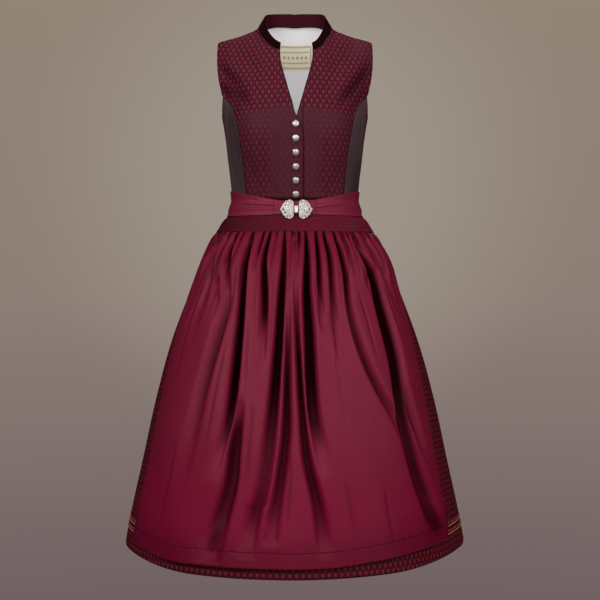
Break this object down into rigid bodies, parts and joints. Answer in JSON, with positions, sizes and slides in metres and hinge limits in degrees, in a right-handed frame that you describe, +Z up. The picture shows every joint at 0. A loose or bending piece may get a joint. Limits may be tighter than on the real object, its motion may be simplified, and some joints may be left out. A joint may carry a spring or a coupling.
{
  "type": "dirndl dress",
  "caption": "Midi dirndl in its worn, hollow form: high-necked buttoned bodice with a V, gathered skirt with piped tucks, and a satin apron closed by a clasp.",
  "frame": {"origin": "midway between the shoulders, level with the middle of the shoulder seams, where the wearer carries the dress", "axes": "+Z up along the dress, -Y towards its front, +X towards the wearer's left, which is the viewer's right"},
  "size_m": [0.6851, 0.632, 1.0772],
  "materials": {
    "jacquard": "burgundy woven jacquard with a small repeating motif",
    "satin": "wine-red satin",
    "velvet": "dark burgundy velvet",
    "lining": "pale satin lining",
    "label": "plain cream woven tape",
    "piping": "orange corded piping",
    "old_silver": "antique silver"
  },
  "bodies": {
    "root": {"apron_panel": "satin", "apron_smocking": "satin", "bodice_back": "jacquard", "bodice_front_left": "jacquard", "bodice_front_right": "jacquard", "bodice_side_back_left": "jacquard", "bodice_side_back_right": "jacquard", "bodice_side_front_left": "jacquard", "bodice_side_front_right": "jacquard", "button_1": "old_silver", "button_2": "old_silver", "button_3": "old_silver", "button_4": "old_silver", "button_5": "old_silver", "button_6": "old_silver", "clasp_bar": "old_silver", "clasp_left": "old_silver", "clasp_right": "old_silver", "collar": "velvet", "lining_back": "lining", "neck_label": "label", "piping_lower": "piping", "piping_upper": "piping", "skirt_back_left": "jacquard", "skirt_back_right": "jacquard", "skirt_front": "jacquard", "waistband_left": "satin", "waistband_right": "satin"}
  },
  "joints": []
}
